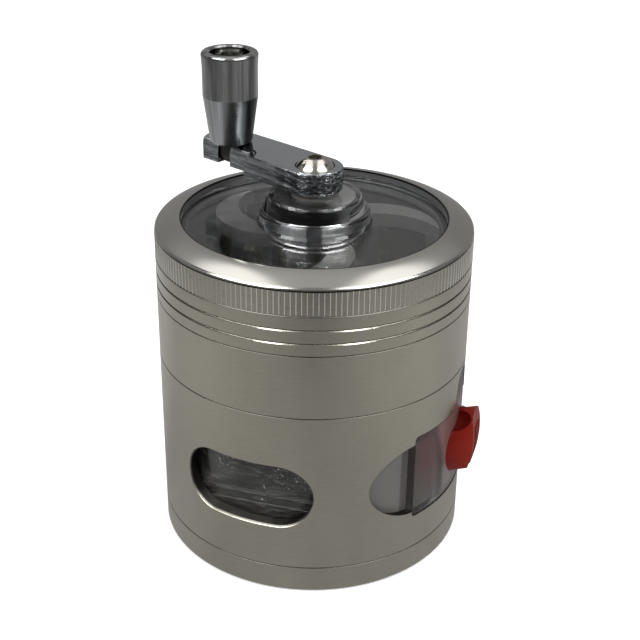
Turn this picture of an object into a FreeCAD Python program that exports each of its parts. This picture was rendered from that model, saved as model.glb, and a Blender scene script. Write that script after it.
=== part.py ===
# Hand-crank herb grinder: four metal tiers on one axis, a clear lid window with a crank through
# it, and a clear drawer that slides out of the storage tier.
# Frame: origin at the middle of the underside, +Z up, +X out of the drawer's front.
import FreeCAD, Part

import math
import os
from types import SimpleNamespace

import Sketcher

# Every driving size in millimetres (angles in degrees): alias, value, what it measures.
DIMENSIONS = (
    ("body_radius", 31.5, "outside of all four tiers"),
    ("joint_gap", 0.12, "seam between two tiers"),
    ("edge_break", 0.06, "bevel on the tiers' edges"),
    ("base_height", 5.75, "base tier"),
    ("storage_height", 34.03, "storage tier"),
    ("chamber_height", 13.01, "grinding tier"),
    ("lid_height", 15.12, "lid ring"),
    ("storage_wall", 2.5, "wall of the storage tier"),
    ("chamber_wall", 3.3, "wall of the grinding tier"),
    ("thread_length", 3.4, "engaged thread of the screwed joints"),
    ("thread_clearance", 0.3, "radial room between plain thread cylinders"),
    ("fit_clearance", 0.05, "radial running fit"),
    ("base_floor", 1.6, "floor of the base tier"),
    ("foot_bevel", 0.6, "bevel round the underside"),
    ("floor_thickness", 1.98, "floor of the grinding tier"),
    ("window_reach", 6.75, "straight half length of a side window"),
    ("window_radius", 6.65, "end radius of a side window"),
    ("window_bevel", 0.35, "bevel round a side window"),
    ("window_spread", 98.0, "side windows to either side of the drawer"),
    ("tray_gap", 0.25, "room round the drawer"),
    ("tray_wall", 1.5, "walls of the drawer"),
    ("plate_thickness", 1.3, "flush front plate of the drawer"),
    ("pull_depth", 3.8, "finger pull, out from the body"),
    ("pull_half_width", 8.8, "finger pull where it meets the plate"),
    ("scoop_radius", 3.6, "finger scoops of the pull"),
    ("peg_radius", 1.2, "pegs of the pull"),
    ("tooth_height", 9.5, "fixed teeth"),
    ("rotor_thickness", 2.8, "arms of the rotor"),
    ("magnet_radius", 3.6, "both magnets"),
    ("magnet_height", 2.2, "both magnets"),
    ("groove_width", 0.28, "turned grooves of the lid ring"),
    ("groove_depth", 0.25, "turned grooves of the lid ring"),
    ("knurl_depth", 0.12, "band that carries the knurl"),
    ("rim_radius", 3.8, "crown of the polished rim"),
    ("boss_radius", 11.0, "boss of the clear lid window"),
    ("shaft_radius", 3.2, "crank shaft"),
    ("bush_radius", 8.0, "dark core of the boss"),
    ("crank_azimuth", 155.0, "direction of the crank arm at rest"),
    ("rotor_azimuth", 25.0, "direction of the rotor's first arm, from the drawer"),
    ("arm_half_width", 5.5, "crank arm"),
    ("arm_thickness", 4.35, "crank arm"),
    ("arm_reach", 23.5, "hub centre to the centre of the rounded end"),
    ("pivot_reach", 21.5, "hub centre to the knob's axis"),
    ("pivot_side", 1.5, "knob's axis, to the open side of the arm"),
    ("fork_face", 3.7, "open side of the fork, from the arm's middle"),
    ("pin_radius", 0.9, "pin that the knob folds on"),
    ("tang_radius", 1.7, "tang of the folding spindle"),
    ("tang_thickness", 3.1, "tang of the folding spindle"),
    ("post_radius", 2.0, "post that the knob turns on"),
    ("knob_height", 18.4, "knob"),
    ("knob_radius", 5.55, "plain upper part of the knob"),
    ("knob_foot_radius", 4.3, "lower end of the knob"),
    ("knob_recess", 5.0, "recess in the knob's top"),
    ("recess_radius", 3.95, "recesses of the knob and of the hub"),
    ("screw_radius", 2.0, "shank of the hub screw"),
    ("hole_count", 6, "drop holes of the inner ring"),
    ("tooth_count", 6, "fixed teeth of the inner ring"),
    ("arm_count", 3, "arms of the rotor"),
)

doc = FreeCAD.newDocument("HerbGrinder")


class Size:
    """A length together with its spreadsheet formula; arithmetic keeps the two in step."""

    def __init__(self, value, text):
        self.value = value
        self.text = text

    @staticmethod
    def of(item):
        return item if isinstance(item, Size) else Size(float(item), repr(float(item)))

    @staticmethod
    def join(left, sign, right, value):
        return Size(value, f"({left.text} {sign} {right.text})")

    def __add__(self, other):
        other = Size.of(other)
        return Size.join(self, "+", other, self.value + other.value)

    def __radd__(self, other):
        return Size.of(other) + self

    def __sub__(self, other):
        other = Size.of(other)
        return Size.join(self, "-", other, self.value - other.value)

    def __rsub__(self, other):
        return Size.of(other) - self

    def __mul__(self, other):
        other = Size.of(other)
        return Size.join(self, "*", other, self.value * other.value)

    def __rmul__(self, other):
        return Size.of(other) * self

    def __truediv__(self, other):
        other = Size.of(other)
        return Size.join(self, "/", other, self.value / other.value)

    def __neg__(self):
        return Size(-self.value, f"(-1 * {self.text})")


ZERO = Size(0.0, "0")
UP = FreeCAD.Vector(0, 0, 1)
FACING_X = FreeCAD.Rotation(FreeCAD.Vector(1, 1, 1), 120)


def write_sheet():
    """The spreadsheet of driving sizes, and the same sizes as named Size values."""
    sheet = doc.addObject("Spreadsheet::Sheet", "Sizes")
    for row, (alias, value, meaning) in enumerate(DIMENSIONS, start=1):
        sheet.set(f"A{row}", meaning)
        sheet.set(f"B{row}", str(value))
        sheet.setAlias(f"B{row}", alias)
    doc.recompute()
    return SimpleNamespace(
        **{alias: Size(float(getattr(sheet, alias)), f"Sizes.{alias}") for alias, _, _ in DIMENSIONS}
    )


def bind(item, path, size):
    """Tie one property of an object to its formula."""
    if size is not ZERO:
        item.setExpression(path, size.text)


def origin_item(body, role):
    return next(item for item in body.Origin.OriginFeatures if item.Role == role)


def new_body(label):
    body = doc.addObject("PartDesign::Body", label)
    body.Label = label
    return body


def sketch_in(body, plane, name, x=ZERO, y=ZERO, rise=ZERO, turn=0.0):
    """Sketch on an origin plane of its body, shifted, raised and turned about the vertical."""
    sketch = body.newObject("Sketcher::SketchObject", name)
    sketch.AttachmentSupport = [(origin_item(body, plane), "")]
    sketch.MapMode = "FlatFace"
    upright = UP if plane == "XY_Plane" else FreeCAD.Vector(0, 1, 0)
    sketch.AttachmentOffset = FreeCAD.Placement(
        FreeCAD.Vector(x.value, y.value, rise.value), FreeCAD.Rotation(upright, turn)
    )
    for axis, size in (("x", x), ("y", y), ("z", rise)):
        bind(sketch, f"AttachmentOffset.Base.{axis}", size)
    return sketch


def free_sketch(name, x=ZERO):
    """Sketch across the drawer's direction: sketch x is +Y, sketch y is +Z."""
    sketch = doc.addObject("Sketcher::SketchObject", name)
    sketch.Placement = FreeCAD.Placement(FreeCAD.Vector(x.value, 0, 0), FACING_X)
    bind(sketch, "Placement.Base.x", x)
    return sketch


def measure(sketch, kind, size, *where):
    """Add one dimension to a sketch and tie it to its formula."""
    index = sketch.addConstraint(Sketcher.Constraint(kind, *where, size.value))
    sketch.setExpression(f"Constraints[{index}]", size.text)


def pin(sketch, edge, end, x, y):
    """Fix a point of a sketch edge by its two distances from the sketch's origin."""
    for kind, axis, size in (("DistanceX", -2, x), ("DistanceY", -1, y)):
        if size is ZERO:
            sketch.addConstraint(Sketcher.Constraint("PointOnObject", edge, end, axis))
        else:
            measure(sketch, kind, size, -1, 1, edge, end)


def arc_between(start, end, radius):
    """Minor arc from start to end, turning left for a positive radius."""
    chord = end - start
    aside = FreeCAD.Vector(-chord.y, chord.x, 0).normalize()
    away = math.sqrt(max(radius ** 2 - (chord.Length / 2) ** 2, 0.0))
    centre = (start + end) * 0.5 + aside * math.copysign(away, radius)
    first, last = (start, end) if radius > 0 else (end, start)
    angles = [math.atan2(p.y - centre.y, p.x - centre.x) for p in (first, last)]
    if angles[1] < angles[0]:
        angles[1] += 2 * math.pi
    return Part.ArcOfCircle(Part.Circle(centre, UP, abs(radius)), *angles)


def outline(sketch, corners):
    """Closed outline. A third entry turns the edge that leaves a corner into an arc of that
    radius, to the left where it is positive and to the right where it is negative."""
    corners = [tuple(Size.of(n) if n != 0 else ZERO for n in corner) for corner in corners]
    points = [FreeCAD.Vector(corner[0].value, corner[1].value, 0) for corner in corners]
    edges = []
    for corner, start, end in zip(corners, points, points[1:] + points[:1]):
        if len(corner) == 2:
            edges.append((sketch.addGeometry(Part.LineSegment(start, end)), 1, 2))
            continue
        radius = corner[2]
        edge = sketch.addGeometry(arc_between(start, end, radius.value))
        measure(sketch, "Radius", radius if radius.value > 0 else -radius, edge)
        edges.append((edge, 1, 2) if radius.value > 0 else (edge, 2, 1))
    for (edge, _, end), (following, start, _) in zip(edges, edges[1:] + edges[:1]):
        sketch.addConstraint(Sketcher.Constraint("Coincident", edge, end, following, start))
    for (edge, start, _), corner in zip(edges, corners):
        pin(sketch, edge, start, corner[0], corner[1])


def slot(sketch, x, y, reach, radius):
    """Stadium: a straight half length to both sides of (x, y), with round ends."""
    right = FreeCAD.Vector(x.value + reach.value, y.value, 0)
    left = FreeCAD.Vector(x.value - reach.value, y.value, 0)
    lift = FreeCAD.Vector(0, radius.value, 0)
    quarter = math.pi / 2
    ends = (
        Part.ArcOfCircle(Part.Circle(right, UP, radius.value), -quarter, quarter),
        Part.ArcOfCircle(Part.Circle(left, UP, radius.value), quarter, 3 * quarter),
    )
    sides = (Part.LineSegment(right + lift, left + lift), Part.LineSegment(left - lift, right - lift))
    head, tail = (sketch.addGeometry(arc) for arc in ends)
    top, bottom = (sketch.addGeometry(line) for line in sides)
    for edge, following in ((head, top), (top, tail), (tail, bottom), (bottom, head)):
        sketch.addConstraint(Sketcher.Constraint("Tangent", edge, 2, following, 1))
    sketch.addConstraint(Sketcher.Constraint("Equal", head, tail))
    measure(sketch, "Radius", radius, head)
    pin(sketch, head, 3, x + reach, y)
    measure(sketch, "DistanceX", x - reach, -1, 1, tail, 3)


def disc(sketch, x, y, radius):
    edge = sketch.addGeometry(Part.Circle(FreeCAD.Vector(x.value, y.value, 0), UP, radius.value))
    measure(sketch, "Radius", radius, edge)
    pin(sketch, edge, 3, x, y)


def revolve(body, name, corners, x=ZERO, y=ZERO):
    """Solid turned about a vertical axis through (x, y), from corners of (radius, height)."""
    sketch = sketch_in(body, "XZ_Plane", f"{name}_profile", x=x, rise=-y if y is not ZERO else ZERO)
    outline(sketch, corners)
    turned = body.newObject("PartDesign::Revolution", name)
    turned.Profile = sketch
    turned.ReferenceAxis = (sketch, ["V_Axis"])
    turned.Angle = 360.0
    doc.recompute()
    return turned


def pad(body, sketch, name, length):
    solid = body.newObject("PartDesign::Pad", name)
    solid.Profile = sketch
    solid.Length = length.value
    bind(solid, "Length", length)
    doc.recompute()
    return solid


def pocket(body, sketch, name, length=None, forward=False):
    """Cut against the sketch's normal, or along it, to a depth or through everything."""
    hollow = body.newObject("PartDesign::Pocket", name)
    hollow.Profile = sketch
    hollow.Reversed = forward
    if length is None:
        hollow.Type = "ThroughAll"
    else:
        hollow.Length = length.value
        bind(hollow, "Length", length)
    doc.recompute()
    return hollow


def around(body, name, features, count):
    """Repeat features evenly about the body's vertical axis."""
    pattern = body.newObject("PartDesign::PolarPattern", name)
    pattern.Originals = features
    pattern.Axis = (origin_item(body, "Z_Axis"), [""])
    pattern.Angle = 360.0
    pattern.Occurrences = int(count.value)
    bind(pattern, "Occurrences", count)
    body.Tip = pattern
    doc.recompute()
    return pattern


def dress(body, kind, name, feature, chosen, size):
    """Fillet or chamfer on the edges of a feature that a test picks."""
    names = [f"Edge{n}" for n, edge in enumerate(feature.Shape.Edges, start=1) if chosen(edge)]
    dressed = body.newObject(f"PartDesign::{kind}", name)
    dressed.Base = (feature, names)
    prop = "Radius" if kind == "Fillet" else "Size"
    setattr(dressed, prop, size.value)
    bind(dressed, prop, size)
    doc.recompute()
    return dressed


def cylinder(name, radius, height, z=ZERO):
    solid = doc.addObject("Part::Cylinder", name)
    solid.Placement.Base = FreeCAD.Vector(0, 0, z.value)
    for prop, size in (("Radius", radius), ("Height", height)):
        setattr(solid, prop, size.value)
        bind(solid, prop, size)
    bind(solid, "Placement.Base.z", z)
    return solid


def block(name, lows, sizes):
    solid = doc.addObject("Part::Box", name)
    solid.Placement.Base = FreeCAD.Vector(*(low.value for low in lows))
    for prop, size in zip(("Length", "Width", "Height"), sizes):
        setattr(solid, prop, size.value)
        bind(solid, prop, size)
    for axis, low in zip("xyz", lows):
        bind(solid, f"Placement.Base.{axis}", low)
    return solid


def peg(name, radius, length, x, y, z):
    """Cylinder along +X."""
    solid = cylinder(name, radius, length, z)
    solid.Placement.Rotation = FreeCAD.Rotation(FreeCAD.Vector(0, 1, 0), 90)
    solid.Placement.Base = FreeCAD.Vector(x.value, y.value, z.value)
    bind(solid, "Placement.Base.x", x)
    bind(solid, "Placement.Base.y", y)
    return solid


def prism(name, sketch, length):
    solid = doc.addObject("Part::Extrusion", name)
    solid.Base = sketch
    solid.DirMode = "Normal"
    solid.LengthFwd = length.value
    solid.Solid = True
    bind(solid, "LengthFwd", length)
    return solid


def pair(kind, name, base, tool):
    """Part::Cut or Part::Common of two solids."""
    solid = doc.addObject(f"Part::{kind}", name)
    solid.Base = base
    solid.Tool = tool
    return solid


def fuse(name, solids):
    solid = doc.addObject("Part::MultiFuse", name)
    solid.Shapes = solids
    return solid


def ring(name, outer, inner, z, height):
    """Plain ring, as two cylinders."""
    outside = cylinder(f"{name}_outside", outer, height, z)
    inside = cylinder(f"{name}_inside", inner, height + 2.0, z - 1.0)
    return pair("Cut", name, outside, inside)


d = write_sheet()

# Heights of the seams, from the underside up.
storage_z = d.base_height + d.joint_gap
storage_top = storage_z + d.storage_height
chamber_z = storage_top + d.joint_gap
chamber_top = chamber_z + d.chamber_height
lid_z = chamber_top + d.joint_gap
lid_top = lid_z + d.lid_height

# Radii shared by neighbouring pieces.
R = d.body_radius
spigot_radius = R - 2.9
storage_bore = R - d.storage_wall
thread_bore = R - 2.3
collar_radius = thread_bore - d.thread_clearance
chamber_bore = R - d.chamber_wall
sleeve_radius = storage_bore - 0.1
sleeve_bore = sleeve_radius - 1.0

# Drawer opening: a stadium across the +X side.
drawer_z = storage_z + 0.48 * d.storage_height
opening_radius = 0.232 * d.storage_height
opening_reach = R - 6.5 - opening_radius
plate_outer = R - 0.1
plate_inner = plate_outer - d.plate_thickness

# Tooth rings, from the middle out: rotor, fixed, rotor, fixed, rotor.
ring_step = (R - 15.7) / 4
rings = [8.6 + step * ring_step for step in range(5)]
floor_top = chamber_z + d.floor_thickness
pivot_top = floor_top + 3.2

# Crank stack above the lid.
window_z = lid_top - 4.87
boss_top = lid_top + 4.13
bush_neck = d.shaft_radius + 1.5
boss_ring_radius = d.boss_radius - 1.2
boss_ring_top = lid_top + 0.6
rotor_top = window_z - 1.0
rotor_z = rotor_top - d.rotor_thickness
rotor_bottom = pivot_top + 0.6
arm_z = boss_top + 1.5
arm_top = arm_z + d.arm_thickness
hub_seat = arm_top - 0.6
pivot_z = arm_z + d.tang_radius
knob_z = arm_top + 0.25
knob_top = knob_z + d.knob_height
recess_z = knob_top - d.knob_recess


def make_base_cap():
    body = new_body("base_cap")
    step = d.base_height - d.thread_length
    revolve(body, "cap", (
        (0, 0),
        (R - d.foot_bevel, 0),
        (R, d.foot_bevel),
        (R, d.base_height - d.edge_break),
        (R - d.edge_break, d.base_height),
        (spigot_radius + d.thread_clearance, d.base_height),
        (spigot_radius + d.thread_clearance, step),
        (R - 5.5, step),
        (R - 5.5, d.base_floor),
        (0, d.base_floor),
    ))
    return body


def make_storage_chamber():
    """Turned tube with three bevelled windows, then the drawer's opening and rebate."""
    body = new_body("storage_tube")
    ledge_top = storage_z + 1.53
    thread_floor = storage_top - d.thread_length - 0.8
    spigot_z = d.base_height - d.thread_length + 0.25
    tube = revolve(body, "tube", (
        (spigot_radius, storage_z),
        (R - d.edge_break, storage_z),
        (R, storage_z + d.edge_break),
        (R, storage_top - d.edge_break),
        (R - d.edge_break, storage_top),
        (thread_bore, storage_top),
        (thread_bore, thread_floor),
        (storage_bore, thread_floor),
        (storage_bore, ledge_top),
        (R - 6.3, ledge_top),
        (R - 6.3, storage_z),
        (spigot_radius - 2.2, storage_z),
        (spigot_radius - 2.2, spigot_z),
        (spigot_radius, spigot_z),
    ))
    window_z_mid = storage_z + 0.475 * d.storage_height
    for number, azimuth in enumerate((-d.window_spread.value, d.window_spread.value, 180.0)):
        sketch = sketch_in(body, "XZ_Plane", f"window_{number}", turn=azimuth + 90.0)
        slot(sketch, ZERO, window_z_mid, d.window_reach, d.window_radius)
        tube = pocket(body, sketch, f"window_cut_{number}", forward=True)
    low = window_z_mid.value - d.window_radius.value - 1.0
    high = window_z_mid.value + d.window_radius.value + 1.0

    def rims_window(edge):
        points = edge.discretize(5)
        outside = all(abs(math.hypot(p.x, p.y) - R.value) < 0.01 for p in points)
        return outside and all(low < p.z < high for p in points)

    dress(body, "Chamfer", "window_bevels", tube, rims_window, d.window_bevel)
    opening_sketch = free_sketch("opening_outline")
    slot(opening_sketch, ZERO, drawer_z, opening_reach, opening_radius)
    opening = prism("opening", opening_sketch, R + 5.0)
    rebate_sketch = free_sketch("rebate_outline")
    plate_outline(rebate_sketch, d.tray_gap)
    rebate_block = prism("rebate_block", rebate_sketch, R + 5.0)
    rebate_ring = ring("rebate_ring", R + 4.0, plate_inner - 0.2, ZERO, lid_top)
    rebate = pair("Common", "rebate", rebate_block, rebate_ring)
    return pair("Cut", "storage_chamber", body, fuse("drawer_hollow", [opening, rebate]))


def plate_outline(sketch, grow):
    """Flush drawer front: rounded rectangle with an arched tongue rising from its middle."""
    half = R - 14.3 + grow
    low = drawer_z - 0.2586 * d.storage_height - grow
    high = drawer_z + 0.2733 * d.storage_height + grow
    tip = storage_top - 1.0 + grow
    root = 4.1 + grow
    arch = 3.0 + grow
    corner = 0.5 + grow
    right = [
        (half - corner, low, corner),
        (half, low + corner),
        (half, high - corner, corner),
        (half - corner, high),
        (root + 1.3, high, -2.6),
        (root - 0.15, high + 1.2),
        (arch, tip - arch, arch),
    ]
    left = [
        (0, tip, arch),
        (-arch, tip - arch),
        (0.15 - root, high + 1.2, -2.6),
        (-root - 1.3, high),
        (corner - half, high, corner),
        (-half, high - corner),
        (-half, low + corner, corner),
        (corner - half, low),
    ]
    outline(sketch, right + left)


def make_sieve():
    """Mesh disc on the storage tier's ledge, and the ring that holds it down."""
    ledge_top = storage_z + 1.53
    screen = cylinder("sieve_screen", storage_bore - 0.3, Size.of(0.4), ledge_top)
    body = new_body("sieve_ring")
    low = ledge_top + 0.4
    high = low + 1.5
    revolve(body, "hoop", (
        (R - 5.9, low),
        (storage_bore - d.fit_clearance, low),
        (storage_bore - d.fit_clearance, high - 0.3),
        (storage_bore - d.fit_clearance - 0.3, high),
        (R - 5.4, high),
        (R - 5.9, high - 0.5),
    ))
    return screen, body


def make_guide_sleeve():
    """Clear liner with the drawer's passage and the two straight rails that carry the drawer."""
    low = storage_z + 3.43
    high = storage_top - d.thread_length - 1.0
    liner = ring("liner", sleeve_radius, sleeve_bore, low, high - low)
    rail_top = drawer_z - opening_radius
    rail_inside = opening_reach + 0.6
    rail_sizes = (2 * R, Size.of(2.4), Size.of(2.5))
    rails = [
        block("rail_left", (-R, rail_inside, rail_top - 2.5), rail_sizes),
        block("rail_right", (-R, -rail_inside - 2.4, rail_top - 2.5), rail_sizes),
    ]
    limits = cylinder("rail_limits", sleeve_bore + 0.4, R, storage_z)
    rails_in = pair("Common", "rails_in", fuse("rails", rails), limits)
    passage_sketch = free_sketch("passage_outline")
    slot(passage_sketch, ZERO, drawer_z, opening_reach, opening_radius + 0.15)
    passage = prism("passage", passage_sketch, R + 5.0)
    passed = pair("Cut", "liner_passed", liner, passage)
    return fuse("guide_sleeve", [passed, rails_in])


def drawer_plan(name, back, front):
    """Plan of the drawer: round at the back, a wider round at the front."""
    rear = cylinder(f"{name}_rear", back, lid_top)
    round_front = cylinder(f"{name}_front", front, lid_top)
    forward = block(f"{name}_half", (ZERO, -R, ZERO), (R, 2 * R, lid_top))
    return fuse(name, [rear, pair("Common", f"{name}_nose", round_front, forward)])


def make_drawer_tray():
    """Trough with a stadium section and a tall stadium end, and the flush plate in front of it."""
    outer_radius = opening_radius - d.tray_gap
    inner_radius = outer_radius - d.tray_wall
    back = sleeve_bore - 0.4
    end_inner = plate_inner - d.tray_wall
    start = -R
    outer_sketch = free_sketch("trough_outline", start)
    slot(outer_sketch, ZERO, drawer_z, opening_reach, outer_radius)
    outer_block = prism("trough_block", outer_sketch, 2 * R)
    trough = pair("Common", "trough", outer_block, drawer_plan("trough_plan", back, plate_inner))
    inner_sketch = free_sketch("hollow_outline", start)
    slot(inner_sketch, ZERO, drawer_z, opening_reach, inner_radius)
    inner_block = prism("hollow_block", inner_sketch, 2 * R)
    hollow_plan = drawer_plan("hollow_plan", back - d.tray_wall, end_inner)
    hollow = pair("Common", "hollow", inner_block, hollow_plan)
    rim_z = drawer_z + 0.365 * opening_radius
    above = cylinder("above_rim", end_inner, R, rim_z)
    tray = pair("Cut", "drawer_tray", trough, fuse("tray_hollows", [hollow, above] + peg_holes("tray")))
    plate_sketch = free_sketch("plate_outline")
    plate_outline(plate_sketch, ZERO)
    plate_block = prism("plate_block", plate_sketch, R + 5.0)
    plate_ring = ring("plate_ring", plate_outer, plate_inner + d.fit_clearance, ZERO, lid_top)
    plate = pair("Common", "plate", plate_block, plate_ring)
    front = pair("Cut", "drawer_front", plate, fuse("front_holes", peg_holes("front")))
    return tray, front


def peg_holes(name):
    """Two holes for the finger pull's pegs, through the plate and the tray's end behind it."""
    start = plate_inner - d.tray_wall - 2.0
    return [
        peg(f"{name}_hole_{side}", d.peg_radius + d.fit_clearance, R, start, y, drawer_z + 1.0)
        for side, y in (("left", Size.of(2.6)), ("right", Size.of(-2.6)))
    ]


def make_drawer_pull():
    """Finger pull: lofted from a broad foot to a narrow face, crowned, scooped on both cheeks."""
    middle = drawer_z + 0.6
    foot_low = middle - 5.2
    half_low = d.pull_half_width - 2.4
    half_high = d.pull_half_width - 4.2
    foot_sketch = free_sketch("pull_foot", R - 2.2)
    outline(foot_sketch, (
        (-half_low, foot_low),
        (half_low, foot_low, 6.0),
        (half_high, middle + 5.0, 7.6),
        (-half_high, middle + 5.0, 6.0),
    ))
    face_low = middle - 5.1
    face_sketch = free_sketch("pull_face", R + d.pull_depth + 0.6)
    outline(face_sketch, (
        (Size.of(-2.6), face_low),
        (Size.of(2.6), face_low, 30.0),
        (Size.of(2.9), middle + 6.2, 5.7),
        (Size.of(-2.9), middle + 6.2, 30.0),
    ))
    loft = doc.addObject("Part::Loft", "pull_loft")
    loft.Sections = [foot_sketch, face_sketch]
    loft.Solid = True
    crowned = pair("Common", "pull_crowned", loft, pull_crown("pull_crown", ZERO))
    inside = cylinder("pull_back", plate_outer + d.fit_clearance, lid_top)
    hollows = [inside]
    for side, y in (("left", Size.of(-4.2)), ("right", Size.of(4.2))):
        scoop = doc.addObject("Part::Sphere", f"scoop_{side}")
        scoop.Radius = d.scoop_radius.value
        bind(scoop, "Radius", d.scoop_radius)
        places = (R - 0.1, y, drawer_z + 8.3)
        scoop.Placement.Base = FreeCAD.Vector(*(place.value for place in places))
        for axis, place in zip("xyz", places):
            bind(scoop, f"Placement.Base.{axis}", place)
        hollows.append(scoop)
    scooped = pair("Cut", "pull_scooped", crowned, fuse("pull_hollows", hollows))
    strips = [
        block(f"pull_strip_{number}", (R + 1.0, Size.of(y), drawer_z - 4.4), (R, Size.of(0.5), Size.of(8.8)))
        for number, y in enumerate((-1.75, -0.25, 1.25))
    ]
    ribs = pair("Common", "pull_ribs", fuse("pull_strips", strips), pull_crown("rib_crown", Size.of(0.2)))
    peg_start = plate_inner - d.tray_wall + 0.4
    pegs = [
        peg(f"pull_peg_{side}", d.peg_radius, Size.of(3.2), peg_start, y, drawer_z + 1.0)
        for side, y in (("left", Size.of(2.6)), ("right", Size.of(-2.6)))
    ]
    return fuse("drawer_pull", [scooped, ribs] + pegs)


def pull_crown(name, proud):
    """Cylinder along Y whose outer side crowns the finger pull's face."""
    radius = 22.0 + proud
    solid = cylinder(name, radius, 2 * R)
    solid.Placement.Rotation = FreeCAD.Rotation(FreeCAD.Vector(1, 0, 0), 90)
    places = (R + d.pull_depth - 22.0, R, drawer_z + 1.8)
    solid.Placement.Base = FreeCAD.Vector(*(place.value for place in places))
    for axis, place in zip("xyz", places):
        bind(solid, f"Placement.Base.{axis}", place)
    return solid


def diamond(sketch, radius):
    """Tooth section: a diamond with its long way round the axis."""
    across = 0.38 * ring_step
    along = 0.5 * ring_step
    outline(sketch, ((radius - across, 0), (radius, -along), (radius + across, 0), (radius, along)))


def make_grinding_chamber():
    body = new_body("grinding_chamber")
    collar_z = storage_top - d.thread_length - 0.5
    magnet_z = pivot_top - d.magnet_height
    revolve(body, "bowl", (
        (0, chamber_z),
        (R - d.edge_break, chamber_z),
        (R, chamber_z + d.edge_break),
        (R, chamber_top - d.edge_break),
        (R - d.edge_break, chamber_top),
        (chamber_bore, chamber_top),
        (chamber_bore, floor_top),
        (Size.of(5.0), floor_top),
        (Size.of(5.0), pivot_top),
        (d.magnet_radius + d.fit_clearance, pivot_top),
        (d.magnet_radius + d.fit_clearance, magnet_z),
        (0, magnet_z),
    ))
    for number, radius in enumerate(rings[0::2], start=1):
        hole_sketch = sketch_in(body, "XY_Plane", f"drop_hole_{number}", rise=floor_top)
        disc(hole_sketch, radius, ZERO, 0.62 * ring_step)
        hole = pocket(body, hole_sketch, f"drop_cut_{number}")
        around(body, f"drop_ring_{number}", [hole], number * d.hole_count)
    for number, radius in enumerate(rings[1::2], start=1):
        tooth_sketch = sketch_in(body, "XY_Plane", f"fixed_tooth_{number}", rise=floor_top)
        diamond(tooth_sketch, radius)
        tooth = pad(body, tooth_sketch, f"fixed_pad_{number}", d.tooth_height)
        around(body, f"fixed_ring_{number}", [tooth], number * d.tooth_count)
    magnet = cylinder("chamber_magnet", d.magnet_radius, d.magnet_height, magnet_z)
    collar = ring("chamber_collar", collar_radius, collar_radius - 1.9, collar_z, chamber_z - collar_z)
    return body, magnet, collar


def make_rotor():
    """Hub with sickle arms, each arm carrying one hanging diamond tooth for every rotor ring."""
    body = new_body("rotor")
    magnet_top = rotor_bottom + d.magnet_height
    hub = Size.of(5.6)
    revolve(body, "hub", (
        (0, magnet_top),
        (d.magnet_radius + d.fit_clearance, magnet_top),
        (d.magnet_radius + d.fit_clearance, rotor_bottom),
        (hub, rotor_bottom),
        (hub, rotor_top),
        (0, rotor_top),
    ))
    sickle = (R - 6.5) / 2
    sweep = 0.45 * sickle
    arm_sketch = sketch_in(body, "XY_Plane", "sickle", rise=rotor_z)
    half = math.sqrt(sickle.value ** 2 - (sweep.value / 2) ** 2)
    tips = [FreeCAD.Vector(sickle.value + side * half, -sweep.value / 2, 0) for side in (1, -1)]
    curves = []
    for drop in (ZERO, sweep):
        centre = FreeCAD.Vector(sickle.value, -drop.value, 0)
        angles = [math.atan2(tip.y - centre.y, tip.x - centre.x) for tip in tips]
        if angles[1] < angles[0]:
            angles[1] += 2 * math.pi
        curve = arm_sketch.addGeometry(Part.ArcOfCircle(Part.Circle(centre, UP, sickle.value), *angles))
        measure(arm_sketch, "Radius", sickle, curve)
        pin(arm_sketch, curve, 3, sickle, -drop if drop is not ZERO else ZERO)
        curves.append(curve)
    for end in (1, 2):
        arm_sketch.addConstraint(Sketcher.Constraint("Coincident", curves[0], end, curves[1], end))
    features = [pad(body, arm_sketch, "sickle_arm", d.rotor_thickness)]
    drop_length = rotor_z + 0.5 - floor_top - 1.0
    reach = math.hypot(sickle.value, sweep.value / 2)
    lean = math.atan2(-sweep.value / 2, sickle.value)
    for number, radius in enumerate(rings[0::2], start=1):
        spread = math.acos((radius.value ** 2 + reach ** 2 - sickle.value ** 2) / (2 * radius.value * reach))
        tooth_sketch = sketch_in(
            body, "XY_Plane", f"rotor_tooth_{number}", rise=floor_top + 1.0,
            turn=math.degrees(lean + spread),
        )
        diamond(tooth_sketch, radius)
        features.append(pad(body, tooth_sketch, f"rotor_pad_{number}", drop_length))
    around(body, "rotor_arms", features, d.arm_count)
    bore = sketch_in(body, "XY_Plane", "shaft_bore", rise=magnet_top + 2.0)
    disc(bore, ZERO, ZERO, d.shaft_radius + d.fit_clearance)
    pocket(body, bore, "shaft_bore_cut", forward=True)
    magnet = cylinder("rotor_magnet", d.magnet_radius, d.magnet_height, rotor_bottom)
    return body, magnet


def make_lid_ring():
    """Ring with a skirt inside the grinding tier, two turned grooves, a knurl band and a rim."""
    body = new_body("lid_ring")
    skirt_z = lid_z - 2.95
    skirt = R - 3.5
    seat = R - 5.24
    glide_low = lid_z - 2.2
    glide_high = lid_z - 0.7
    band = R - d.knurl_depth
    grooves = []
    for middle in (lid_z + 2.54, lid_z + 5.26):
        low = middle - d.groove_width / 2
        high = middle + d.groove_width / 2
        grooves += [(R, low), (R - d.groove_depth, low), (R - d.groove_depth, high), (R, high)]
    revolve(body, "lid", [
        (R - 4.9, skirt_z),
        (skirt, skirt_z),
        (skirt, glide_low),
        (R - 4.1, glide_low),
        (R - 4.1, glide_high),
        (skirt, glide_high),
        (skirt, lid_z),
        (R - d.edge_break, lid_z),
        (R, lid_z + d.edge_break),
        *grooves,
        (R, lid_z + 7.85),
        (band, lid_z + 8.0),
        (band, lid_z + 12.75),
        (R - 0.5, lid_z + 12.75),
        (R - 0.5, lid_z + 13.05),
        (R - 0.08, lid_z + 13.05),
        (R - 0.08, lid_z + 13.15, d.rim_radius),
        (R - 4.8, lid_top),
        (seat, lid_top - 0.3),
        (seat, window_z),
        (R - 6.1, window_z),
        (R - 6.1, window_z - 1.4),
        (R - 4.9, window_z - 1.4),
    ])
    return body


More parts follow.
